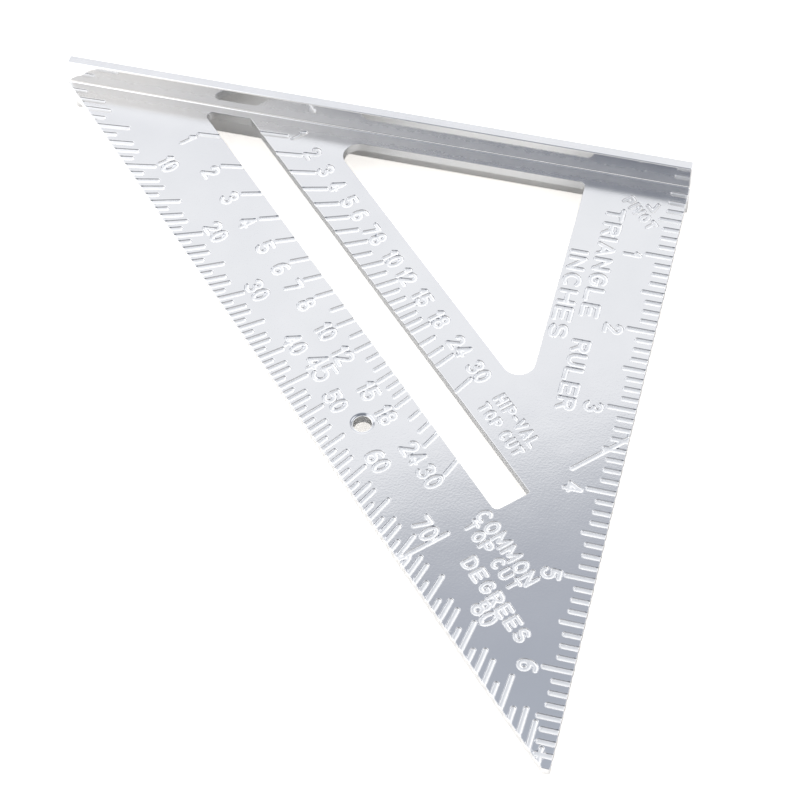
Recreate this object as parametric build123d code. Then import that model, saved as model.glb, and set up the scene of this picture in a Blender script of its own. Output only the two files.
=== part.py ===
"""A 7 inch rafter square: a triangular blade and the T-bar fence along one of its legs.

The origin is the pivot corner: where the fence's bearing face, the ruler edge and the blade's underside meet.
+X points away from the blade across the ruler edge, +Y away from the blade across the fence, and +Z up through
the marked face. So the blade lies in -X and -Y. All sizes are millimetres and degrees.
"""
from build123d import *
import os
from math import atan, atan2, cos, degrees, hypot, radians, sin, sqrt

INCH = 25.4

# Outline of the blade
ruler_length = 7 * INCH
blade_thickness = 3.0
hypotenuse_reach = 179.8      # from the pivot corner along either leg to the line of the 45 degree edge

# Fence: a bar across the blade's back edge, with a rounded root on both faces of the blade
root_radius = 0.5
fence_length = 178.7
fence_thickness = 3.0
fence_rise = 7.4              # above the marked face
fence_drop = 7.8              # below the underside
fence_edge_radius = 0.35

# Slot between the two rafter scales. A reach is measured like hypotenuse_reach.
slot_outer_reach = 141.1
slot_inner_reach = 126.7
slot_to_fence = 2.5
slot_end_offset = 85.3        # the slot's square end lies on the line x - y = slot_end_offset
slot_corner_radius = 1.5

# Triangular window
window_reach = 105.9
window_to_ruler_edge = 27.9
window_to_fence = 4.5
window_tight_radius = 4.4
window_square_radius = 1.8

# Hanging hole
hole_centre = (-66.4, -95.6)
hole_diameter = 3 / 16 * INCH
countersink_radius = 3.3
countersink_depth = 0.25

# Engraved marks
groove_width = 1.4
groove_depth = 0.3
overshoot = 1.5               # how far a cutter runs out past an edge
eighths_per_inch = 8
ruler_mark_short = 4.0
ruler_mark_half = 5.5
ruler_mark_inch = 7.0
degree_reach_short = 176.3    # where the inner ends of the degree marks lie
degree_reach_middle = 172.8
degree_reach_long = 170.5
degree_reach_diagonal = 168.6
common_reach_long = 147.9
common_reach_short = 146.3
hip_reach_long = 119.0
hip_reach_short = 120.5
labelled_rises = (1, 2, 3, 4, 5, 6, 7, 8, 10, 12, 15, 18, 24, 30)
plain_rises = (9, 11, 13, 14, 16, 17, 20, 22)
common_run = 12
hip_run = 17
square_line_offset = 84.6     # the two marks square to the slot lie on the line x - y = this
square_line_at_edge = 17.0
square_line_at_hypotenuse = 14.0


def slanted(angle, reach):
    """Where the ray from the pivot at this angle from the fence crosses the 45 degree line of this reach."""
    distance = reach / (cos(angle) + sin(angle))
    return (-distance * cos(angle), -distance * sin(angle))


def crossing(reach, offset):
    """Where the 45 degree line of this reach crosses the line x - y = offset."""
    return ((offset - reach) / 2, (-offset - reach) / 2)


def groove(start, end):
    """A round-ended cutter for one mark in the marked face, between two end centres."""
    along = (end[0] - start[0], end[1] - start[1])
    middle = ((start[0] + end[0]) / 2, (start[1] + end[1]) / 2)
    outline = SlotCenterToCenter(hypot(*along), groove_width, rotation=degrees(atan2(along[1], along[0])))
    floor = blade_thickness - groove_depth
    return extrude(Pos(*middle, floor) * outline, amount=2 * groove_depth)


def ruler_marks():
    """Marks every 1/8 inch in from the ruler edge, longer at halves and inches."""
    marks = []
    for eighth in range(1, int(ruler_length / INCH) * eighths_per_inch):
        depth = ruler_mark_short
        if eighth % eighths_per_inch == 0:
            depth = ruler_mark_inch
        elif eighth % (eighths_per_inch // 2) == 0:
            depth = ruler_mark_half
        y = -eighth * INCH / eighths_per_inch
        marks.append(groove((overshoot, y), (-depth, y)))
    return marks


def degree_marks():
    """Marks every degree about the pivot, in from the 45 degree edge."""
    marks = []
    for degree in range(1, 90):
        reach = degree_reach_middle
        if degree == 45:
            reach = degree_reach_diagonal
        elif degree % 5 == 0:
            reach = degree_reach_long
        elif degree % 5 in (1, 4):
            reach = degree_reach_short
        angle = radians(degree)
        marks.append(groove(slanted(angle, hypotenuse_reach + overshoot), slanted(angle, reach)))
    return marks


def rafter_marks(run, slot_edge, reach_long, reach_short):
    """Marks from one side of the slot, at the slope of each whole rise over this run."""
    inwards = 1 if reach_long > slot_edge else -1
    marks = []
    for rises, reach in ((labelled_rises, reach_long), (plain_rises, reach_short)):
        for rise in rises:
            angle = atan(rise / run)
            marks.append(groove(slanted(angle, slot_edge - inwards * overshoot), slanted(angle, reach)))
    return marks


def square_line_marks():
    """Two marks in line, square to the slot: one in from the ruler edge, one in from the 45 degree edge."""
    step = 1 / sqrt(2)
    at_edge = (0, -square_line_offset)
    at_hypotenuse = crossing(hypotenuse_reach, square_line_offset)
    marks = []
    for edge, length, way in ((at_edge, square_line_at_edge, -step), (at_hypotenuse, square_line_at_hypotenuse, step)):
        start = (edge[0] - way * overshoot, edge[1] - way * overshoot)
        end = (edge[0] + way * length, edge[1] + way * length)
        marks.append(groove(start, end))
    return marks


def slot_cutter():
    """The slanted slot: along the fence at the top, square to its own sides at the bottom."""
    top = -slot_to_fence
    corners = [
        (-slot_outer_reach - top, top),
        crossing(slot_outer_reach, slot_end_offset),
        crossing(slot_inner_reach, slot_end_offset),
        (-slot_inner_reach - top, top),
    ]
    outline = make_face(Polyline(*corners, close=True))
    left = outline.vertices().sort_by(Axis.X)[0]
    low = outline.vertices().sort_by(Axis.Y)[0]
    outline = fillet([left, low], radius=slot_corner_radius)
    return extrude(Pos(0, 0, -1) * outline, amount=blade_thickness + 2)


def window_cutter():
    """The triangular window, with wide rounds in its two sharp corners."""
    right, top = -window_to_ruler_edge, -window_to_fence
    corners = [(right, top), (-window_reach - top, top), (right, -window_reach - right)]
    outline = make_face(Polyline(*corners, close=True))
    left = outline.vertices().sort_by(Axis.X)[0]
    low = outline.vertices().sort_by(Axis.Y)[0]
    outline = fillet([left, low], radius=window_tight_radius)
    square = outline.vertices().sort_by(lambda corner: corner.X + corner.Y)[-1]
    outline = fillet(square, radius=window_square_radius)
    return extrude(Pos(0, 0, -1) * outline, amount=blade_thickness + 2)


def hole_cutter():
    """The hanging hole and its countersink."""
    through = Pos(*hole_centre, blade_thickness / 2) * Cylinder(hole_diameter / 2, blade_thickness + 2)
    sink_middle = blade_thickness - countersink_depth / 2
    sink = Pos(*hole_centre, sink_middle) * Cone(hole_diameter / 2, countersink_radius, countersink_depth)
    return through + sink


def blade():
    """The triangular plate, up to where the fence's root fillets run out on it."""
    back = -root_radius
    corners = [
        (0, back),
        (0, -ruler_length),
        (ruler_length - hypotenuse_reach, -ruler_length),
        (-hypotenuse_reach - back, back),
    ]
    plate = extrude(make_face(Polyline(*corners, close=True)), amount=blade_thickness)
    plate = plate - slot_cutter() - window_cutter() - hole_cutter()
    common = rafter_marks(common_run, slot_outer_reach, common_reach_long, common_reach_short)
    hip = rafter_marks(hip_run, slot_inner_reach, hip_reach_long, hip_reach_short)
    return plate - (ruler_marks() + degree_marks() + common + hip + square_line_marks())


def fence():
    """The bar and its root, drawn as one section across the fence and extruded along it."""
    top = blade_thickness + fence_rise
    bar = Plane.YZ * Pos(fence_thickness / 2, (top - fence_drop) / 2) * RectangleRounded(
        fence_thickness, top + fence_drop, fence_edge_radius
    )
    root_height = blade_thickness + 2 * root_radius
    root = Plane.YZ * Pos(-root_radius / 2, blade_thickness / 2) * Rectangle(root_radius, root_height)
    hollow_above = Plane.YZ * Pos(-root_radius, blade_thickness + root_radius) * Circle(root_radius)
    hollow_below = Plane.YZ * Pos(-root_radius, -root_radius) * Circle(root_radius)
    section = bar + (root - hollow_above - hollow_below)
    return Pos(-fence_length, 0, 0) * extrude(section, amount=fence_length, dir=(1, 0, 0))


def write_parts():
    os.makedirs("parts", exist_ok=True)
    for name, solid in (("blade", blade()), ("fence", fence())):
        solid.label = name
        export_step(solid, f"parts/{name}.step")


write_parts()
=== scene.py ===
"""The looks of the 7 inch rafter square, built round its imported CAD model.

Lengths in the mesh code are millimetres in the CAD frame, and MM turns them into Blender's metres. Two ways
of laying out the marked face are used beside plain (x, y). A reach is how far from the pivot corner, along
either leg, a 45 degree line crosses that leg. A slant place is (along, across): along runs in the direction
(+X, -Y) and across in (+X, +Y), which is how the two slanted scales and their numerals read.
"""

from math import atan, ceil, cos, hypot, pi, radians, sin, sqrt

import bpy
import numpy as np
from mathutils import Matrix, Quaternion, Vector
from mathutils.geometry import delaunay_2d_cdt


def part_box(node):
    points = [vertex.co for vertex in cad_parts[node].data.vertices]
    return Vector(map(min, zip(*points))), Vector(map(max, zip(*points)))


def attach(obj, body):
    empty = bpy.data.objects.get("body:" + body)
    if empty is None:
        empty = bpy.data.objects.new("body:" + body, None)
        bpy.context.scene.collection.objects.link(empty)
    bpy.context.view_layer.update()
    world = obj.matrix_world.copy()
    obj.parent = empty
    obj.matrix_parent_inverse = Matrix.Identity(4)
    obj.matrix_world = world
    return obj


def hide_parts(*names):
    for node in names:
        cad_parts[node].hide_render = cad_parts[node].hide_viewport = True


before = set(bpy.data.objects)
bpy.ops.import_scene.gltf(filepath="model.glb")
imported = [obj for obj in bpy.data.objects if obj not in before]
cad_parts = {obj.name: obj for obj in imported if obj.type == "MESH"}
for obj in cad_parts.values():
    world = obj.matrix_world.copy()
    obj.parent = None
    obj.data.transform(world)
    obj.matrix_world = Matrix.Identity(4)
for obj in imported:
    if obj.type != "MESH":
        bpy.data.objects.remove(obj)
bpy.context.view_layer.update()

MM = 0.001
INCH = 25.4

# The blade's and the fence's driving sizes, from the frame
blade_low, blade_high = (np.array(corner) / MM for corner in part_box("blade"))
fence_low, fence_high = (np.array(corner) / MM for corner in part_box("fence"))
TOP = blade_high[2]                       # height of the marked face
BACK = blade_high[1]                      # the blade's edge at the fence's root
RULER_LENGTH = -blade_low[1]
FENCE_LENGTH = -fence_low[0]
HYPOTENUSE_REACH = -blade_low[0] - BACK

# Slot, window and hanging hole, as in the CAD model
SLOT_OUTER_REACH = 141.1
SLOT_INNER_REACH = 126.7
SLOT_TO_FENCE = 2.5
SLOT_END_OFFSET = 85.3                    # the slot's square end lies on x - y = this
SLOT_RADIUS = 1.5
WINDOW_REACH = 105.9
WINDOW_TO_RULER_EDGE = 27.9
WINDOW_TO_FENCE = 4.5
WINDOW_TIGHT_RADIUS = 4.4
WINDOW_SQUARE_RADIUS = 1.8
HOLE_CENTRE = np.array((-66.4, -95.6))
HOLE_RADIUS = 3 / 32 * INCH
COUNTERSINK_RADIUS = 3.3
COUNTERSINK_DEPTH = 0.25

# Engraved strokes. Their section goes by how far a point is past the stroke's edge, which is halfway down its
# wall.
MARK_HALF_WIDTH = 0.68
NUMERAL_HALF_WIDTH = 0.6
LEGEND_HALF_WIDTH = 0.54
HEADING_HALF_WIDTH = 0.64
NOTCH_DEPTH = 0.1                         # how far a mark notches the scale edge that it runs out through
NOTCH_FROM = 0.25                         # where beside the mark its notch starts
NOTCH_TO = -0.25                          # and where it is at its full depth
WALL_SLOPE = 1.5
WALL_PLACE = 0.065                        # the wall is straight this far to either side of its middle
LIP_PLACE = 0.17                          # where the rounded lip starts
FOOT_PLACE = -0.13                        # where the wall's rounded foot ends
DISH_PLACE = -0.62                        # the floor is slightly dished from here outwards
DISH_SLOPE = 0.24
STROKE_ROWS = (-0.13, -0.065, 0.065, 0.105, 0.17)
MARK_STEP = 0.9                           # longest span along a mark
GLYPH_STEP = 0.66                         # and along a numeral's or a letter's stroke
FAR = 2.0                                 # past this a stroke or an edge has no effect

EDGE_RADIUS = 0.13
EDGE_ROWS = (0.03, 0.07, 0.13)
SMALL_CORNER = 0.45                       # plan radius of the blade's outer corners
SLOT_TOP_RADIUS = 0.4                     # and of the slot's two corners that aren't rounded in the CAD model
OUTLINE_STEP = 0.6                        # longest span of an outline
CROSSED_STEP = 0.1                        # and where a stroke runs out through it
SHARP_TURN = 40                           # degrees, past which a stroke's corner is a corner and not a curve
GRID_STEP = 3.0                           # of the coarse grid of points between strokes and edges
GRID_CLEARANCE = 0.6                      # how far that grid keeps from them
MERGE_CELL = 0.02                         # of points that fall in one cell of this size, only one is kept
NEARER_STROKE = 0.02                      # a stroke's point goes if another stroke is this much nearer
EDGE_CLEARANCE = 0.05                     # how far the strokes' points keep from the edges' roundings
BACK_CLEARANCE = 0.1                      # and how far all the inner points keep from the fence's root
SINK_RINGS = 6                            # circles of points over the countersink
SINK_RINGS_FROM = HOLE_RADIUS + 0.42
SINK_RINGS_TO = COUNTERSINK_RADIUS + 0.3
GRID_FROM_HOLE = COUNTERSINK_RADIUS + 0.7


def slanted(angle, reach):
    """Where the ray from the pivot at this angle from the fence crosses the 45 degree line of this reach."""
    distance = reach / (cos(angle) + sin(angle))
    return np.array((-distance * cos(angle), -distance * sin(angle)))


def crossing(reach, offset):
    """Where the 45 degree line of this reach crosses the line x - y = offset."""
    return np.array(((offset - reach) / 2, (-offset - reach) / 2))


def from_slant(place):
    """The (x, y) of a slant place."""
    along, across = place
    return np.array(((along + across) / sqrt(2), (across - along) / sqrt(2)))


def from_ruler(place):
    """The (x, y) of a place read down the ruler edge: (down, x)."""
    down, x = place
    return np.array((x, -down))


# Engraved marks

OVERSHOOT = 1.5                           # how far a mark's line runs out past the edge
RULER_MARK_SHORT = 4.0
RULER_MARK_HALF = 5.5
RULER_MARK_INCH = 7.0
DEGREE_REACH_SHORT = 176.3                # where the inner ends of the degree marks lie
DEGREE_REACH_MIDDLE = 172.8
DEGREE_REACH_LONG = 170.5
DEGREE_REACH_DIAGONAL = 168.6
COMMON_REACHES = (147.9, 146.3)           # where the long and the short rafter marks' ends lie
HIP_REACHES = (119.0, 120.5)
COMMON_RUN = 12
HIP_RUN = 17
LABELLED_RISES = (1, 2, 3, 4, 5, 6, 7, 8, 10, 12, 15, 18, 24, 30)
PLAIN_RISES = (9, 11, 13, 14, 16, 17, 20, 22)
SQUARE_LINE_OFFSET = 84.6                 # the two marks square to the slot lie on x - y = this
SQUARE_LINE_AT_RULER = 17.0
SQUARE_LINE_AT_HYPOTENUSE = 14.0


def ruler_marks():
    """Marks every 1/8 inch in from the ruler edge, longer at halves and inches."""
    marks = []
    for eighth in range(1, 8 * round(RULER_LENGTH / INCH)):
        depth = RULER_MARK_SHORT
        if eighth % 8 == 0:
            depth = RULER_MARK_INCH
        elif eighth % 4 == 0:
            depth = RULER_MARK_HALF
        y = -eighth * INCH / 8
        marks.append(((OVERSHOOT, y), (-depth, y)))
    return marks


def degree_marks():
    """Marks every degree about the pivot, in from the 45 degree edge."""
    marks = []
    for degree in range(1, 90):
        reach = DEGREE_REACH_MIDDLE
        if degree == 45:
            reach = DEGREE_REACH_DIAGONAL
        elif degree % 5 == 0:
            reach = DEGREE_REACH_LONG
        elif degree % 5 in (1, 4):
            reach = DEGREE_REACH_SHORT
        angle = radians(degree)
        marks.append((slanted(angle, HYPOTENUSE_REACH + OVERSHOOT), slanted(angle, reach)))
    return marks


def rafter_marks(run, slot_edge, reaches):
    """Marks from one side of the slot, at the slope of each whole rise over this run."""
    past_edge = OVERSHOOT if reaches[0] < slot_edge else -OVERSHOOT
    marks = []
    for rises, reach in zip((LABELLED_RISES, PLAIN_RISES), reaches):
        for rise in rises:
            angle = atan(rise / run)
            marks.append((slanted(angle, slot_edge + past_edge), slanted(angle, reach)))
    return marks


def square_line_marks():
    """Two marks in line, square to the slot: one in from the ruler edge, one in from the 45 degree edge."""
    step = np.array((1, 1)) / sqrt(2)
    at_ruler = np.array((0, -SQUARE_LINE_OFFSET))
    at_hypotenuse = crossing(HYPOTENUSE_REACH, SQUARE_LINE_OFFSET)
    return [
        (at_ruler + OVERSHOOT * step, at_ruler - SQUARE_LINE_AT_RULER * step),
        (at_hypotenuse - OVERSHOOT * step, at_hypotenuse + SQUARE_LINE_AT_HYPOTENUSE * step),
    ]


# Numerals and letters, as strokes in a box one wide and one high

def curve(x, y, across, up, start, end):
    """Part of an ellipse about (x, y), from one angle to another in degrees."""
    count = max(2, ceil(abs(end - start) / 24))
    angles = [radians(start + (end - start) * k / count) for k in range(count + 1)]
    return [(x + across * cos(a), y + up * sin(a)) for a in angles]


def glyph_strokes():
    """Each character's strokes."""
    bowl = [(0, 1)] + curve(0.55, 0.75, 0.45, 0.25, 90, -90) + [(0, 0.5)]
    ring = curve(0.5, 0.5, 0.5, 0.5, 90, 450)
    six = [curve(0.5, 0.29, 0.5, 0.29, 90, 450), curve(0.72, 0.42, 0.71, 0.57, 75, 190)]
    nine = [[(1 - x, 1 - y) for x, y in stroke] for stroke in six]
    return {
        "0": [ring],
        "1": [[(0, 0.78), (0.9, 1), (0.9, 0)]],
        "2": [curve(0.5, 0.73, 0.48, 0.27, 170, -35) + [(0, 0)], [(0, 0), (1, 0)]],
        "3": [curve(0.45, 0.76, 0.47, 0.24, 150, -80), curve(0.45, 0.27, 0.53, 0.27, 80, -150)],
        "4": [[(0.74, 0), (0.74, 1), (0, 0.27), (1, 0.27)]],
        "5": [[(0.93, 1), (0.12, 1), (0.06, 0.56)] + curve(0.46, 0.32, 0.52, 0.32, 125, -150)],
        "6": six,
        "7": [[(0, 1), (1, 1), (0.38, 0)]],
        "8": [curve(0.5, 0.77, 0.4, 0.23, 90, 450), curve(0.5, 0.28, 0.5, 0.28, 90, 450)],
        "9": nine,
        "A": [[(0, 0), (0.5, 1), (1, 0)], [(0.18, 0.34), (0.82, 0.34)]],
        "C": [curve(0.55, 0.5, 0.52, 0.5, 50, 310)],
        "D": [[(0, 0), (0, 1)] + curve(0.4, 0.5, 0.6, 0.5, 90, -90) + [(0, 0)]],
        "E": [[(1, 1), (0, 1), (0, 0), (1, 0)], [(0, 0.5), (0.85, 0.5)]],
        "G": [curve(0.52, 0.5, 0.52, 0.5, 50, 330) + [(0.98, 0.45), (0.58, 0.45)]],
        "H": [[(0, 0), (0, 1)], [(1, 0), (1, 1)], [(0, 0.5), (1, 0.5)]],
        "I": [[(0, 0), (0, 1)]],
        "L": [[(0, 1), (0, 0), (1, 0)]],
        "M": [[(0, 0), (0, 1), (0.5, 0.25), (1, 1), (1, 0)]],
        "N": [[(0, 0), (0, 1), (1, 0), (1, 1)]],
        "O": [ring],
        "P": [[(0, 0)] + bowl],
        "R": [[(0, 0)] + bowl, [(0.5, 0.5), (1, 0)]],
        "S": [curve(0.5, 0.75, 0.47, 0.25, 35, 270) + curve(0.5, 0.25, 0.5, 0.25, 90, -145)],
        "T": [[(0, 1), (1, 1)], [(0.5, 1), (0.5, 0)]],
        "U": [[(0, 1)] + curve(0.5, 0.36, 0.5, 0.36, 180, 360) + [(1, 1)]],
        "V": [[(0, 1), (0.5, 0), (1, 1)]],
        "-": [[(0, 0.5), (1, 0.5)]],
        " ": [],
    }


GLYPHS = glyph_strokes()
NARROW = {"1": 0.33, "I": 0.001, "-": 0.5, " ": 0.2, "M": 1.3}
GLYPH_WIDTH = 0.54                        # of a usual character's strokes, as a share of their height
GLYPH_GAP = 1.22                          # between two characters' stroke middles


def text(words, place, middle, low, high, half_width, room=None):
    """Strokes for a line of text between two heights, about its middle. place turns (along, up) into (x, y),
    and room, if given, is the length that the line is stretched or squeezed to."""
    low, high = low + half_width, high - half_width
    widths = [GLYPH_WIDTH * (high - low) * NARROW.get(letter, 1) for letter in words]
    gap = GLYPH_GAP
    if room:
        share = (room - 2 * half_width) / (sum(widths) + gap * (len(words) - 1))
        widths = [width * share for width in widths]
        gap *= share
    left = middle - (sum(widths) + gap * (len(words) - 1)) / 2
    strokes = []
    for letter, width in zip(words, widths):
        for stroke in GLYPHS[letter]:
            strokes.append([place((left + width * x, low + (high - low) * y)) for x, y in stroke])
        left += width + gap
    return strokes


# Where each label's middle lies along its row
HIP_LABELS = {1: -73.4, 2: -65.3, 3: -57.9, 4: -51.5, 5: -44.8, 6: -39.3, 7: -33.0, 8: -29.3,
              10: -21.3, 12: -14.2, 15: -5.9, 18: 2.6, 24: 12.9, 30: 22.4}
COMMON_LABELS = {1: -88.5, 2: -74.4, 3: -63.3, 4: -53.2, 5: -42.9, 6: -34.3, 7: -27.3, 8: -20.1,
                 10: -9.5, 12: -0.5, 15: 12.8, 18: 21.6, 24: 35.2, 30: 43.4}
DEGREE_LABELS = {10: -83.2, 20: -54.6, 30: -31.0, 40: -10.2, 50: 11.1, 60: 32.6, 70: 55.7, 80: 83.5}
INCH_LABELS = {1: 26.2, 2: 51.8, 3: 77.2, 4: 102.0, 5: 127.4, 6: 153.0}


def numerals():
    """The numbers of the four scales."""
    strokes = []
    rows = (
        (HIP_LABELS, from_slant, -83.65, -78.45),
        (COMMON_LABELS, from_slant, -110.95, -105.45),
        (DEGREE_LABELS, from_slant, -119.65, -114.25),
        ({45: -0.3}, from_slant, -118.55, -111.55),
        (INCH_LABELS, from_ruler, -13.45, -8.05),
    )
    for labels, place, low, high in rows:
        for number, middle in labels.items():
            strokes += text(str(number), place, middle, low, high, NUMERAL_HALF_WIDTH)
    return strokes


def legends():
    """The scales' names and the pivot's pointer."""
    strokes = [[from_slant(point) for point in ((0.6, -10.7), (1.7, -13.3), (-0.7, -13.2))]]
    for words, middle, low, high, room in (
        ("PIVOT", 0.3, -18.2, -14.6, 12.9),
        ("HIP-VAL", 40.4, -82.8, -78.9, 18.1),
        ("TOP CUT", 40.5, -87.6, -83.9, 18.3),
        ("COMMON", 70.6, -105.2, -100.6, 24.1),
        ("TOP CUT", 70.7, -109.0, -105.1, 22.3),
        ("DEGREES", 81.5, -114.9, -110.5, 26.4),
    ):
        strokes += text(words, from_slant, middle, low, high, LEGEND_HALF_WIDTH, room)
    return strokes


def heading():
    """A plain heading down the ruler."""
    strokes = []
    for words, middle, low, high, room in (
        ("TRIANGLE", 30.6, -20.45, -15.15, 38.1),
        ("RULER", 68.5, -20.45, -15.15, 22.7),
        ("INCHES", 43.1, -27.15, -21.85, 30.1),
    ):
        strokes += text(words, from_ruler, middle, low, high, HEADING_HALF_WIDTH, room)
    return strokes


def smooth_runs(points):
    """A polyline cut at its corners sharper than SHARP_TURN."""
    runs = [[points[0]]]
    for before, point, after in zip(points, points[1:], points[2:]):
        runs[-1].append(point)
        one, two = point - before, after - point
        if one @ two < cos(radians(SHARP_TURN)) * hypot(*one) * hypot(*two):
            runs.append([point])
    runs[-1].append(points[-1])
    return runs


def resampled(points, step):
    """The same polyline with no span longer than step."""
    places = [points[0]]
    for start, end in zip(points, points[1:]):
        count = max(1, ceil(hypot(*(end - start)) / step))
        places += [start + (end - start) * k / count for k in range(1, count + 1)]
    return np.array(places)


def all_runs():
    """Every stroke as smooth runs of points, each with its half width."""
    marks = ruler_marks() + degree_marks() + square_line_marks()
    marks += rafter_marks(COMMON_RUN, SLOT_OUTER_REACH, COMMON_REACHES)
    marks += rafter_marks(HIP_RUN, SLOT_INNER_REACH, HIP_REACHES)
    runs = []
    for strokes, half_width, step in (
        (marks, MARK_HALF_WIDTH, MARK_STEP),
        (numerals(), NUMERAL_HALF_WIDTH, GLYPH_STEP),
        (legends(), LEGEND_HALF_WIDTH, GLYPH_STEP),
        (heading(), HEADING_HALF_WIDTH, GLYPH_STEP),
    ):
        for stroke in strokes:
            points = [np.array(point, float) for point in stroke]
            runs += [(resampled(run, step), half_width) for run in smooth_runs(points)]
    return runs


# Distances on the marked face

def distance_field(starts, ends, widths):
    """A function that gives, for each point, how far it is past the nearest segment's edge, and the unit
    vector away from that segment."""
    cell = 8.0
    low = np.minimum(starts, ends) - FAR
    high = np.maximum(starts, ends) + FAR
    span = ends - starts
    square = np.maximum((span ** 2).sum(1), 1e-12)

    def measure(points):
        past = np.full(len(points), FAR)
        away = np.zeros((len(points), 2))
        keys, owner = np.unique(np.floor(points / cell).astype(int), axis=0, return_inverse=True)
        owner = owner.ravel()
        order = np.argsort(owner, kind="stable")
        parts = np.split(order, np.cumsum(np.bincount(owner))[:-1])
        for key, members in zip(keys, parts):
            near = ((low < (key + 1) * cell) & (high > key * cell)).all(1)
            if not near.any():
                continue
            rest = points[members][:, None, :] - starts[near]
            share = np.clip((rest * span[near]).sum(2) / square[near], 0, 1)
            rest = rest - share[..., None] * span[near]
            distance = np.hypot(rest[..., 0], rest[..., 1])
            best = (distance - widths[near]).argmin(1)
            row = np.arange(len(members))
            past[members] = np.minimum(FAR, distance[row, best] - widths[near][best])
            away[members] = rest[row, best] / np.maximum(distance[row, best], 1e-9)[:, None]
        return past, away

    return measure


def stroke_field(runs):
    starts = np.concatenate([points[:-1] for points, _ in runs])
    ends = np.concatenate([points[1:] for points, _ in runs])
    widths = np.concatenate([np.full(len(points) - 1, half_width) for points, half_width in runs])
    return distance_field(starts, ends, widths)


def run_rows(points, half_width):
    """Points beside one run, at each of STROKE_ROWS past its edge, with round ends."""
    along = np.gradient(points, axis=0)
    along /= np.hypot(along[:, 0], along[:, 1])[:, None]
    side = np.stack((-along[:, 1], along[:, 0]), 1)
    rows, wanted = [points], [np.full(len(points), -half_width)]
    for past in STROKE_ROWS:
        radius = half_width + past
        ring = [points + side * radius, points - side * radius]
        count = max(5, ceil(pi * radius / 0.3))
        for end, way in ((0, -1), (-1, 1)):
            for k in range(1, count):
                turn = pi * k / count
                ring.append([points[end] + radius * (side[end] * cos(turn) + way * along[end] * sin(turn))])
        ring = np.concatenate(ring)
        rows.append(ring)
        wanted.append(np.full(len(ring), past))
    return np.concatenate(rows), np.concatenate(wanted)


# Outlines of the blade and its openings

def rounded_loop(corners, radii):
    """A closed outline whose corners are arcs of the given radii."""
    corners = [np.array(corner, float) for corner in corners]
    loop = []
    for index, (corner, radius) in enumerate(zip(corners, radii)):
        if not radius:
            loop.append(corner)
            continue
        back = corners[index - 1] - corner
        ahead = corners[(index + 1) % len(corners)] - corner
        back, ahead = back / hypot(*back), ahead / hypot(*ahead)
        half = np.arccos(np.clip(back @ ahead, -1, 1)) / 2
        middle = (back + ahead) / hypot(*(back + ahead))
        centre = corner + middle * radius / sin(half)
        first = corner + back * radius / np.tan(half) - centre
        last = corner + ahead * radius / np.tan(half) - centre
        count = max(4, ceil(radius * (pi - 2 * half) / 0.35))
        sweep = pi - 2 * half
        for k in range(count + 1):
            share = k / count
            loop.append(centre + (first * sin(sweep * (1 - share)) + last * sin(sweep * share)) / sin(sweep))
    return np.array(loop)


def outline():
    corners = [
        (0, BACK),
        (-HYPOTENUSE_REACH - BACK, BACK),
        (RULER_LENGTH - HYPOTENUSE_REACH, -RULER_LENGTH),
        (0, -RULER_LENGTH),
    ]
    return rounded_loop(corners, (0, 0, SMALL_CORNER, SMALL_CORNER))


def slot():
    top = -SLOT_TO_FENCE
    corners = [
        (-SLOT_INNER_REACH - top, top),
        crossing(SLOT_INNER_REACH, SLOT_END_OFFSET),
        crossing(SLOT_OUTER_REACH, SLOT_END_OFFSET),
        (-SLOT_OUTER_REACH - top, top),
    ]
    return rounded_loop(corners, (SLOT_TOP_RADIUS, SLOT_TOP_RADIUS, SLOT_RADIUS, SLOT_RADIUS))


def window():
    right, top = -WINDOW_TO_RULER_EDGE, -WINDOW_TO_FENCE
    corners = [(right, top), (right, -WINDOW_REACH - right), (-WINDOW_REACH - top, top)]
    return rounded_loop(corners, (WINDOW_SQUARE_RADIUS, WINDOW_TIGHT_RADIUS, WINDOW_TIGHT_RADIUS))


def hole():
    turns = np.arange(64) * 2 * pi / 64
    return HOLE_CENTRE + HOLE_RADIUS * np.stack((np.cos(-turns), np.sin(-turns)), 1)


def refined(loop, strokes):
    """A closed outline with short spans where strokes run out through it."""
    starts = resampled(np.concatenate((loop, loop[:1])), OUTLINE_STEP)[:-1]
    ends = np.roll(starts, -1, 0)
    crossed = strokes((starts + ends) / 2)[0] < OUTLINE_STEP
    spans = []
    for start, end, close in zip(starts, ends, crossed):
        spans.append(resampled(np.array((start, end)), CROSSED_STEP)[:-1] if close else [start])
    return np.concatenate(spans)


def notched(loop, strokes):
    """The outline with a shallow notch in it where each mark runs out."""
    loop = refined(loop, strokes)
    along = np.roll(loop, -1, 0) - np.roll(loop, 1, 0)
    inwards = np.stack((-along[:, 1], along[:, 0]), 1) / np.hypot(along[:, 0], along[:, 1])[:, None]
    share = np.clip((NOTCH_FROM - strokes(loop)[0]) / (NOTCH_FROM - NOTCH_TO), 0, 1)
    share[loop[:, 1] > BACK - 1] = 0
    return loop + inwards * (NOTCH_DEPTH * share ** 2 * (3 - 2 * share))[:, None]


def inside(points, loops):
    """Which points lie inside an odd number of the loops."""
    order = np.argsort(points[:, 1], kind="stable")
    across, up = points[order].T
    odd = np.zeros(len(points), bool)
    for loop in loops:
        for start, end in zip(loop, np.roll(loop, -1, 0)):
            first, last = np.searchsorted(up, sorted((start[1], end[1])))
            if first < last:
                share = (up[first:last] - start[1]) / (end[1] - start[1])
                odd[order[first:last]] ^= across[first:last] < start[0] + share * (end[0] - start[0])
    return odd


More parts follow.
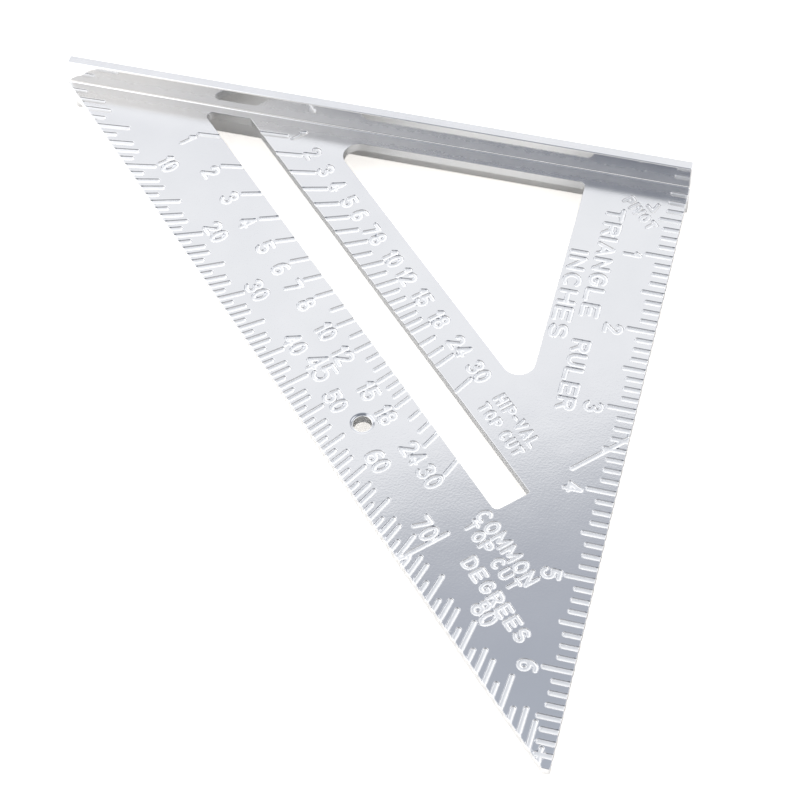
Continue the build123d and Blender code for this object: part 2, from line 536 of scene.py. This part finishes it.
def triangulated(loops, others, shapes):
    """Triangles over the area that the loops bound, with the other points inside it. Gives the points, the
    triangles, and which of the given points each point was."""
    points = np.concatenate(loops + ([others] if len(others) else []))
    edges, first = [], 0
    for loop in loops:
        edges += [(first + k, first + (k + 1) % len(loop)) for k in range(len(loop))]
        first += len(loop)
    made = delaunay_2d_cdt([Vector(point) for point in points], edges, [], 0, 1e-7)
    flat = np.array([point[:] for point in made[0]])
    triangles = np.array(made[2])
    triangles = triangles[inside(flat[triangles].mean(1), shapes)]
    a, b, c = (flat[triangles[:, k]] for k in range(3))
    turn = (b[:, 0] - a[:, 0]) * (c[:, 1] - a[:, 1]) - (b[:, 1] - a[:, 1]) * (c[:, 0] - a[:, 0])
    triangles[turn < 0] = triangles[turn < 0][:, ::-1]
    given = [sources[0] for sources in made[3]]
    return flat, triangles[np.abs(turn) > 1e-9], given


# Section of the marked face

def stroke_section():
    """An engraved stroke's slope and height, tabled from its floor outwards past its lip."""
    past = np.linspace(DISH_PLACE - 0.1, LIP_PLACE + 0.1, 600)
    dish = DISH_SLOPE * np.clip((past - DISH_PLACE) / (FOOT_PLACE - DISH_PLACE), 0, 1)
    foot = np.clip((past - FOOT_PLACE) / (-WALL_PLACE - FOOT_PLACE), 0, 1)
    lip = np.clip((LIP_PLACE - past) / (LIP_PLACE - WALL_PLACE), 0, 1)
    slope = (dish + (WALL_SLOPE - dish) * foot ** 3) * lip ** 5
    height = np.cumsum(slope) * (past[1] - past[0])
    return past, slope, height - height[-1]


SECTION = stroke_section()


def groove(past):
    """Height and slope of the face beside an engraved stroke."""
    places, slope, height = SECTION
    return np.interp(past, places, height), np.interp(past, places, slope)


def countersink(points):
    """Height and slope vector of the dish round the hanging hole."""
    rest = points - HOLE_CENTRE
    distance = np.hypot(rest[:, 0], rest[:, 1])
    width = COUNTERSINK_RADIUS - HOLE_RADIUS
    share = np.clip((distance - HOLE_RADIUS) / width, 0, 1)
    height = -COUNTERSINK_DEPTH * (1 + np.cos(pi * share)) / 2
    slope = COUNTERSINK_DEPTH * pi * np.sin(pi * share) / (2 * width)
    return height, rest * (slope / np.maximum(distance, 1e-9))[:, None]


def next_along(triangles):
    """For each vertex on the boundary of a set of triangles, the next one with the material on the left."""
    sides = np.concatenate([triangles[:, [0, 1]], triangles[:, [1, 2]], triangles[:, [2, 0]]])
    known = set(map(tuple, sides.tolist()))
    return {start: end for start, end in sides.tolist() if (end, start) not in known}


def make_mesh(name, points, faces, normals):
    """A smooth mesh piece from millimetre points, with its own vertex normals."""
    mesh = bpy.data.meshes.new(name)
    mesh.from_pydata((points * MM).tolist(), [], faces)
    mesh.polygons.foreach_set("use_smooth", np.ones(len(mesh.polygons), bool))
    mesh.normals_split_custom_set_from_vertices(normals.tolist())
    piece = bpy.data.objects.new(name, mesh)
    bpy.context.scene.collection.objects.link(piece)
    return piece


def face_points(runs, strokes, edge_field, loops, shapes):
    """The marked face's points between its outlines."""
    # Beside the strokes, where no other stroke is nearer
    rows, wanted = zip(*(run_rows(*run) for run in runs))
    rows, wanted = np.concatenate(rows), np.concatenate(wanted)
    past, _ = strokes(rows)
    edge, _ = edge_field(rows)
    inner = (edge > EDGE_RADIUS + EDGE_CLEARANCE) & (rows[:, 1] < BACK - BACK_CLEARANCE)
    gathered = [rows[(past > wanted - NEARER_STROKE) & inner]]

    # Just inside the edges, round the countersink, and a coarse grid for the rest
    for loop in loops:
        before, after = np.roll(loop, 1, 0), np.roll(loop, -1, 0)
        along = after - before
        inwards = np.stack((-along[:, 1], along[:, 0]), 1) / np.hypot(along[:, 0], along[:, 1])[:, None]
        for depth in EDGE_ROWS:
            row = loop + inwards * depth
            gathered.append(row[(edge_field(row)[0] > depth * 0.97) & (row[:, 1] < BACK - BACK_CLEARANCE)])
    for radius in np.linspace(SINK_RINGS_FROM, SINK_RINGS_TO, SINK_RINGS):
        gathered.append(HOLE_CENTRE + (shapes[3] - HOLE_CENTRE) * radius / HOLE_RADIUS)
    columns, lines = np.meshgrid(np.arange(-178, 0, GRID_STEP), np.arange(-177, -2, GRID_STEP))
    grid = np.stack((columns.ravel(), lines.ravel()), 1)
    from_hole = np.hypot(*(grid - HOLE_CENTRE).T)
    clear = (strokes(grid)[0] > GRID_CLEARANCE) & (edge_field(grid)[0] > GRID_CLEARANCE)
    gathered.append(grid[clear & (from_hole > GRID_FROM_HOLE)])

    points = np.concatenate(gathered)
    points = points[inside(points, shapes)]
    _, first = np.unique(np.round(points / MERGE_CELL).astype(int), axis=0, return_index=True)
    return points[np.sort(first)]


def border_directions(flat, following):
    """For each boundary vertex, the direction out of the material, or zero along the fence's root."""
    preceding = {end: start for start, end in following.items()}
    at_back = flat[:, 1] > BACK - 1e-4
    directions = []
    for vertex in following:
        sides = [(preceding[vertex], vertex), (vertex, following[vertex])]
        sides = [side for side in sides if not (at_back[side[0]] and at_back[side[1]])]
        if sides:
            total = sum((flat[end] - flat[start] for start, end in sides), np.zeros(2))
            directions.append(np.array((total[1], -total[0])) / hypot(*total))
        else:
            directions.append(np.zeros(2))
    return np.array(directions)


def rings_below(flat, border, directions, following):
    """The blade's walls and rounded lower edge, as rings of points, quads between them, and normals."""
    easing = np.clip((BACK - flat[border, 1]) / (2 * EDGE_RADIUS), 0, 1)
    inset = directions * (EDGE_RADIUS * easing)[:, None]
    rings, faces, normals = [], [], []
    upper = {int(vertex): int(vertex) for vertex in border}
    count = len(flat)
    for turn in (0, 45, 90):
        drop, share = EDGE_RADIUS * (1 - sin(radians(turn))), 1 - cos(radians(turn))
        rings.append(np.column_stack((flat[border] - inset * share, np.full(len(border), drop))))
        lower = {int(vertex): count + k for k, vertex in enumerate(border)}
        for start, end in following.items():
            faces.append((upper[start], lower[start], lower[end], upper[end]))
        out = directions * cos(radians(turn))
        normals.append(np.column_stack((out, np.full(len(border), -sin(radians(turn))))))
        upper, count = lower, count + len(border)
    return rings, faces, normals


def back_faces(ring, border, following, first):
    """Triangles over the blade's back, whose boundary is the last ring, numbered from first."""
    place = {int(vertex): k for k, vertex in enumerate(border)}
    loops, left = [], set(place)
    while left:
        vertex = min(left)
        loop = []
        while vertex in left:
            left.remove(vertex)
            loop.append(place[vertex])
            vertex = following[vertex]
        loops.append(loop)
    outlines = [ring[loop] for loop in loops]
    _, triangles, given = triangulated(outlines, np.zeros((0, 2)), outlines)
    order = np.concatenate(loops)
    index = [first + order[k] for k in given]
    return [[index[k] for k in triangle[::-1]] for triangle in triangles.tolist()]


def blade_piece():
    """The engraved plate: marked face, rounded edges that the marks run out through, and plain back."""
    runs = all_runs()
    strokes = stroke_field(runs)
    shapes = [notched(outline(), strokes), slot(), window(), hole()]
    loops = [shapes[0]] + [refined(shape, strokes) for shape in shapes[1:3]] + [shapes[3]]
    starts = np.concatenate(shapes)
    ends = np.concatenate([np.roll(shape, -1, 0) for shape in shapes])
    rounded = (starts[:, 1] < BACK) | (ends[:, 1] < BACK)
    edge_field = distance_field(starts[rounded], ends[rounded], np.zeros(rounded.sum()))
    others = face_points(runs, strokes, edge_field, loops, shapes)
    flat, triangles, _ = triangulated(loops, others, shapes)
    used = np.unique(triangles)
    flat, triangles = flat[used], np.searchsorted(used, triangles)

    # The marked face's heights and normals
    past, away = strokes(flat)
    edge, from_edge = edge_field(flat)
    height, slope = groove(past)
    sink, sink_slope = countersink(flat)
    lean = np.clip((EDGE_RADIUS - edge) / EDGE_RADIUS, 0, 1)
    upright = np.sqrt(1 - lean ** 2)
    z = TOP + height + sink - EDGE_RADIUS * (1 - upright)
    following = next_along(triangles)
    border = np.array(list(following))
    outwards = -from_edge
    outwards[border] = border_directions(flat, following)
    tilt = away * slope[:, None] + sink_slope
    normals = np.column_stack((outwards * lean[:, None] - tilt * upright[:, None], upright))
    normals /= np.linalg.norm(normals, axis=1)[:, None]

    # The walls, the lower edge and the back
    rings, faces, ring_normals = rings_below(flat, border, outwards[border], following)
    points = np.concatenate([np.column_stack((flat, z))] + rings)
    back = back_faces(rings[-1][:, :2], border, following, len(points) - len(border))
    all_normals = np.concatenate([normals] + ring_normals)
    all_normals[np.linalg.norm(all_normals, axis=1) < 1e-6] = (0, 1, 0)
    return make_mesh("blade_engraved", points, triangles.tolist() + faces + back, all_normals)


# The fence

FENCE_CORNER = 0.35
FENCE_END_ROUND = 0.3
FENCE_STATIONS = 60                       # sections along it
ARC_STEPS = 8                             # in each rounded corner of its section
ROOT_RADIUS = -BACK


def fence_section():
    """The fence's section as (y, z) points with their outward normals."""
    high, low, out = fence_high[2], fence_low[2], fence_high[1]
    corner, root = FENCE_CORNER, ROOT_RADIUS
    arcs = (
        (corner, low + corner, corner, 180, 270),
        (out - corner, low + corner, corner, 270, 360),
        (out - corner, high - corner, corner, 0, 90),
        (corner, high - corner, corner, 90, 180),
        (-root, TOP + root, root, 0, -90),
        (-root, -root, root, 90, 0),
    )
    points, normals = [], []
    for y, z, radius, start, end in arcs:
        facing = 1 if end > start else -1
        for k in range(ARC_STEPS + 1):
            turn = radians(start + (end - start) * k / ARC_STEPS)
            points.append((y + radius * cos(turn), z + radius * sin(turn)))
            normals.append((facing * cos(turn), facing * sin(turn)))
    return np.array(points), np.array(normals)


def fence_piece():
    """The T-bar: its section carried along it, with softened ends."""
    section, out = fence_section()
    stations = []
    for share in (0, 22, 45, 68, 90):
        inset = FENCE_END_ROUND * (1 - sin(radians(share)))
        stations.append((FENCE_END_ROUND * (1 - cos(radians(share))), inset, cos(radians(share))))
    middle = [(x, 0, 0) for x in np.linspace(0, FENCE_LENGTH, FENCE_STATIONS)[1:-1]]
    other_end = [(FENCE_LENGTH - x, inset, -lean) for x, inset, lean in reversed(stations)]
    stations += middle + other_end
    points, normals, faces = [], [], []
    size = len(section)
    for x, inset, lean in stations:
        ring = section - out * inset
        points.append(np.column_stack((np.full(size, -x), ring)))
        normals.append(np.column_stack((np.full(size, lean), out * sqrt(max(0, 1 - lean ** 2)))))
    for k in range(len(stations) - 1):
        for i in range(size):
            j = (i + 1) % size
            faces.append((k * size + i, (k + 1) * size + i, (k + 1) * size + j, k * size + j))
    for start, flip in ((0, False), ((len(stations) - 1) * size, True)):
        ring = points[start // size][:, 1:]
        _, triangles, given = triangulated([ring], np.zeros((0, 2)), [ring])
        index = [start + k for k in given]
        for triangle in triangles.tolist():
            face = [index[k] for k in triangle]
            faces.append(face[::-1] if flip else face)
    return make_mesh("fence_bar", np.concatenate(points), faces, np.concatenate(normals))


# Materials

def node(tree, kind, place=(0, 0), **settings):
    made = tree.nodes.new(kind)
    made.location = place
    for name, value in settings.items():
        setattr(made, name, value)
    return made


def noise(tree, coordinates, scale, detail=2.0, roughness=0.5):
    made = node(tree, "ShaderNodeTexNoise")
    made.inputs["Scale"].default_value = scale
    made.inputs["Detail"].default_value = detail
    made.inputs["Roughness"].default_value = roughness
    tree.links.new(coordinates, made.inputs["Vector"])
    return made.outputs["Fac"]


def ranged(tree, value, low, high, from_low=0.3, from_high=0.7):
    made = node(tree, "ShaderNodeMapRange")
    made.inputs["From Min"].default_value = from_low
    made.inputs["From Max"].default_value = from_high
    made.inputs["To Min"].default_value = low
    made.inputs["To Max"].default_value = high
    tree.links.new(value, made.inputs["Value"])
    return made.outputs["Result"]


def math_node(tree, operation, one, two=None):
    made = node(tree, "ShaderNodeMath", operation=operation)
    for socket, value in zip(made.inputs, (one, two)):
        if isinstance(value, (int, float)):
            socket.default_value = value
        elif value:
            tree.links.new(value, socket)
    return made.outputs[0]


def bump(tree, height, distance, normal=None):
    made = node(tree, "ShaderNodeBump")
    made.inputs["Distance"].default_value = distance
    tree.links.new(height, made.inputs["Height"])
    if normal:
        tree.links.new(normal, made.inputs["Normal"])
    return made.outputs["Normal"]


def ramp(tree, value, stops, span, strength=1.0):
    """A colour that goes by a value, through stops given as (value, colour)."""
    bands = node(tree, "ShaderNodeValToRGB")
    elements = bands.color_ramp.elements
    while len(elements) < len(stops):
        elements.new(0.5)
    for element, (place, colour) in zip(elements, stops):
        element.position = place / span
        element.color = (*(channel / strength for channel in colour), 1)
    tree.links.new(value, bands.inputs["Fac"])
    return bands.outputs["Color"]


# How the blade's look goes by depth under the marked face: painted shade darkens its colour on the groove
# walls, the countersink and the rounded edges, and the engraved floors are hazy
PAINTED_CREVICE_SHADE = (
    (0.006, (1, 1, 1)),
    (0.03, (0.52, 0.53, 0.56)),
    (0.19, (0.52, 0.53, 0.56)),
    (0.24, (1, 1, 1)),
)
ENGRAVED_HAZE = (
    (0.2, (0, 0, 0)),
    (0.24, (0.32, 0.32, 0.32)),
    (0.33, (0.32, 0.32, 0.32)),
    (0.37, (0, 0, 0)),
)
DEPTH_SPAN = 0.5

# The alloy's colour clouds between two tones. Noise scales are in cells per metre, heights in millimetres.
ALLOY_TONES = ((0.895, 0.9, 0.91), (0.935, 0.938, 0.945))
CLOUD_SCALE = 60
PATCH_SCALE = 300
WAVE_SCALE = 90
PEEL_SCALE = 1900
PEEL_HEIGHT = 0.0065
CORNER_HAZE = 0.24                        # extra roughness near the fence, growing between these two y places
CORNER_FROM, CORNER_TO = -14, -2


def cast_alloy(name, wave_height, rough_low, rough_high, engraved):
    """Bright cast aluminium with an orange-peel skin: fine ripples over slow waves, and faint clouding. If it
    is engraved, painted shade darkens its colour by depth on the groove walls, the countersink and the
    rounded edges, and its roughness also goes by depth and by how near the fence it is."""
    material = bpy.data.materials.new(name)
    material.use_nodes = True
    tree = material.node_tree
    shader = tree.nodes["Principled BSDF"]
    shader.inputs["Metallic"].default_value = 1.0
    coordinates = node(tree, "ShaderNodeTexCoord").outputs["Object"]
    mix = node(tree, "ShaderNodeMix", data_type="RGBA")
    mix.inputs["A"].default_value = (*ALLOY_TONES[0], 1)
    mix.inputs["B"].default_value = (*ALLOY_TONES[1], 1)
    tree.links.new(ranged(tree, noise(tree, coordinates, CLOUD_SCALE, 3), 0, 1), mix.inputs["Factor"])
    colour = mix.outputs["Result"]
    rough = ranged(tree, noise(tree, coordinates, PATCH_SCALE, 4), rough_low, rough_high)
    if engraved:
        apart = node(tree, "ShaderNodeSeparateXYZ")
        tree.links.new(coordinates, apart.inputs[0])
        depth = ranged(tree, apart.outputs["Z"], 1, 0, (TOP - DEPTH_SPAN) * MM, TOP * MM)
        # painted shade: the colour is multiplied darker between 0.03 and 0.19 mm under the face, on the
        # groove walls, the countersink and the rounded edges
        painted_shade_mix = node(tree, "ShaderNodeMix", data_type="RGBA", blend_type="MULTIPLY")
        painted_shade_mix.inputs["Factor"].default_value = 1.0
        tree.links.new(colour, painted_shade_mix.inputs["A"])
        tree.links.new(ramp(tree, depth, PAINTED_CREVICE_SHADE, DEPTH_SPAN), painted_shade_mix.inputs["B"])
        colour = painted_shade_mix.outputs["Result"]
        corner = ranged(tree, apart.outputs["Y"], 0, CORNER_HAZE, CORNER_FROM * MM, CORNER_TO * MM)
        haze = math_node(tree, "MAXIMUM", corner, ramp(tree, depth, ENGRAVED_HAZE, DEPTH_SPAN))
        rough = math_node(tree, "ADD", rough, haze)
    tree.links.new(colour, shader.inputs["Base Color"])
    tree.links.new(rough, shader.inputs["Roughness"])
    waves = bump(tree, noise(tree, coordinates, WAVE_SCALE, 1), wave_height * MM)
    peel = bump(tree, noise(tree, coordinates, PEEL_SCALE, 2), PEEL_HEIGHT * MM, waves)
    tree.links.new(peel, shader.inputs["Normal"])
    return material


FLOOR_HALF = 3000
FLOOR_TINT = (1.0, 0.97, 0.93)
# where a sheet glows less under the square than outside it, this fade is a painted shadow under the square
OUTSIDE_REACHES = (184, 177)              # the glow outside the 45 degree edge fades out between these


def floor_material(name, colour, glow, glow_outside):
    """Matt paper that glows as much as glow says under the square and glow_outside says outside its 45 degree
    edge; less glow under the square is a painted shadow there.
    """
    material = bpy.data.materials.new(name)
    material.use_nodes = True
    tree = material.node_tree
    shader = tree.nodes["Principled BSDF"]
    shader.inputs["Base Color"].default_value = (*colour, 1)
    shader.inputs["Roughness"].default_value = 0.8
    shader.inputs["Emission Color"].default_value = (*FLOOR_TINT, 1)
    apart = node(tree, "ShaderNodeSeparateXYZ")
    tree.links.new(node(tree, "ShaderNodeTexCoord").outputs["Object"], apart.inputs[0])
    reach = math_node(tree, "ADD", apart.outputs["X"], apart.outputs["Y"])
    outer, inner = OUTSIDE_REACHES
    strength = ranged(tree, reach, glow_outside, glow, -outer * MM, -inner * MM)
    tree.links.new(strength, shader.inputs["Emission Strength"])
    return material


def floor():
    """The floor that the square lies on, touched by the fence's lower edge and the blade's tip. The bright
    sheet is what is seen, and a duller one just under it, which glows only outside the 45 degree edge, is
    what
    the metal reflects: a painted shadow under the square that shows only in reflections."""
    rise = atan(-fence_low[2] / (RULER_LENGTH + fence_high[1] / 2))
    sheets = []
    for name, gap, colour, glow, glow_outside in (
        ("floor", 0.05, (0.9, 0.885, 0.865), 0.65, 0.65),
        # the reflected sheet glows only outside the 45 degree edge: a painted shadow under the square
        ("floor_reflected", 0.15, (0.86, 0.85, 0.83), 0.0, 0.6),
    ):
        corners = []
        for x, y in ((-1, -1), (1, -1), (1, 1), (-1, 1)):
            x, y = x * FLOOR_HALF, y * FLOOR_HALF
            corners.append((x * MM, y * MM, (fence_low[2] - gap - y * sin(rise)) * MM))
        mesh = bpy.data.meshes.new(name)
        mesh.from_pydata(corners, [], [(0, 1, 2, 3)])
        mesh.materials.append(floor_material(name, colour, glow, glow_outside))
        sheet = bpy.data.objects.new(name, mesh)
        bpy.context.scene.collection.objects.link(sheet)
        sheets.append(sheet)
    seen, reflected = sheets
    seen.visible_glossy = False
    seen.visible_diffuse = False
    seen.visible_shadow = False
    reflected.visible_camera = False


SKY_STRENGTH = 2.0
SKY_LEAN = (-0.02, 0.026)                 # how much of the half turn the bands shift by, left and right
LEAN_PLACES = (-0.2, 0.1)
SIDE_MIDDLE = 0.05                        # the middle light turns into the side light this way out from here
SIDE_PLACES = (0.25, 0.36)

# The light by its angle up from the horizon behind, over the top, to the horizon on the camera's side: first
# near the middle, then to the left and the right
MIDDLE_SKY = (
    (0, (1.6, 1.6, 1.6)),
    (38, (1.5, 1.5, 1.5)),
    (44, (0.82, 0.83, 0.87)),
    (47, (0.87, 0.88, 0.91)),
    (50, (0.90, 0.91, 0.935)),
    (55, (0.865, 0.875, 0.905)),
    (57.2, (0.54, 0.56, 0.605)),
    (58.8, (0.465, 0.485, 0.54)),
    (61, (0.435, 0.46, 0.52)),
    (66, (0.43, 0.465, 0.53)),
    (90, (0.45, 0.47, 0.51)),
    (112, (0.36, 0.375, 0.42)),
    (123, (0.27, 0.285, 0.335)),
    (130, (0.155, 0.17, 0.21)),
    (138, (0.155, 0.17, 0.21)),
    (146, (0.5, 0.51, 0.53)),
    (155, (0.6, 0.6, 0.6)),
    (180, (0.9, 0.89, 0.88)),
)
SIDE_SKY = (
    (0, (1.6, 1.6, 1.6)),
    (38, (1.5, 1.5, 1.5)),
    (44, (0.82, 0.83, 0.87)),
    (47, (0.87, 0.88, 0.91)),
    (50, (0.90, 0.91, 0.935)),
    (55, (0.865, 0.875, 0.905)),
    (62, (1.8, 1.8, 1.8)),
    (117, (1.8, 1.8, 1.8)),
    (123, (0.86, 0.825, 0.78)),
    (180, (0.9, 0.88, 0.85)),
)


def studio():
    """Soft light all round, set by direction: a bright sweep behind, dimmer overhead and where the camera
    stands, and two wide soft boxes to the left and the right."""
    world = bpy.data.worlds.new("studio")
    bpy.context.scene.world = world
    world.use_nodes = True
    tree = world.node_tree
    background = tree.nodes["Background"]
    direction = node(tree, "ShaderNodeTexCoord").outputs["Generated"]
    apart = node(tree, "ShaderNodeSeparateXYZ")
    tree.links.new(direction, apart.inputs[0])
    x, y, z = apart.outputs
    share = math_node(tree, "DIVIDE", math_node(tree, "ARCTAN2", z, y), pi)
    share = math_node(tree, "ADD", share, ranged(tree, x, *SKY_LEAN, *LEAN_PLACES))
    sideways = math_node(tree, "ABSOLUTE", math_node(tree, "SUBTRACT", x, SIDE_MIDDLE))
    both = node(tree, "ShaderNodeMix", data_type="RGBA")
    tree.links.new(ranged(tree, sideways, 0, 1, *SIDE_PLACES), both.inputs["Factor"])
    for socket, stops in (("A", MIDDLE_SKY), ("B", SIDE_SKY)):
        tree.links.new(ramp(tree, share, stops, 180, SKY_STRENGTH), both.inputs[socket])
    tree.links.new(both.outputs["Result"], background.inputs["Color"])
    background.inputs["Strength"].default_value = SKY_STRENGTH


def camera():
    """The photograph's viewing angle."""
    place = Vector((0.03538, -0.39102, 0.45477))
    aim = Vector((-0.05895, -0.08642, TOP * MM))
    roll = radians(-3.197)
    data = bpy.data.cameras.new("camera")
    data.sensor_width = 36
    data.lens = 97.79
    data.clip_end = 20
    holder = bpy.data.objects.new("camera", data)
    bpy.context.scene.collection.objects.link(holder)
    holder.location = place
    holder.rotation_mode = "QUATERNION"
    holder.rotation_quaternion = (aim - place).to_track_quat("-Z", "Y") @ Quaternion((0, 0, 1), roll)
    bpy.context.scene.camera = holder


def finish_piece(piece, node_name, material):
    piece.data.materials.append(material)
    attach(piece, "root")
    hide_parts(node_name)


blade_alloy = cast_alloy("cast_alloy_face", 0.02, 0.04, 0.07, True)
fence_alloy = cast_alloy("cast_alloy_bar", 0.008, 0.08, 0.12, False)
finish_piece(blade_piece(), "blade", blade_alloy)
finish_piece(fence_piece(), "fence", fence_alloy)
for name, material in (("blade", blade_alloy), ("fence", fence_alloy)):
    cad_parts[name].data.materials.clear()
    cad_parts[name].data.materials.append(material)
floor()
studio()
camera()
bpy.context.scene.view_settings.view_transform = "Standard"
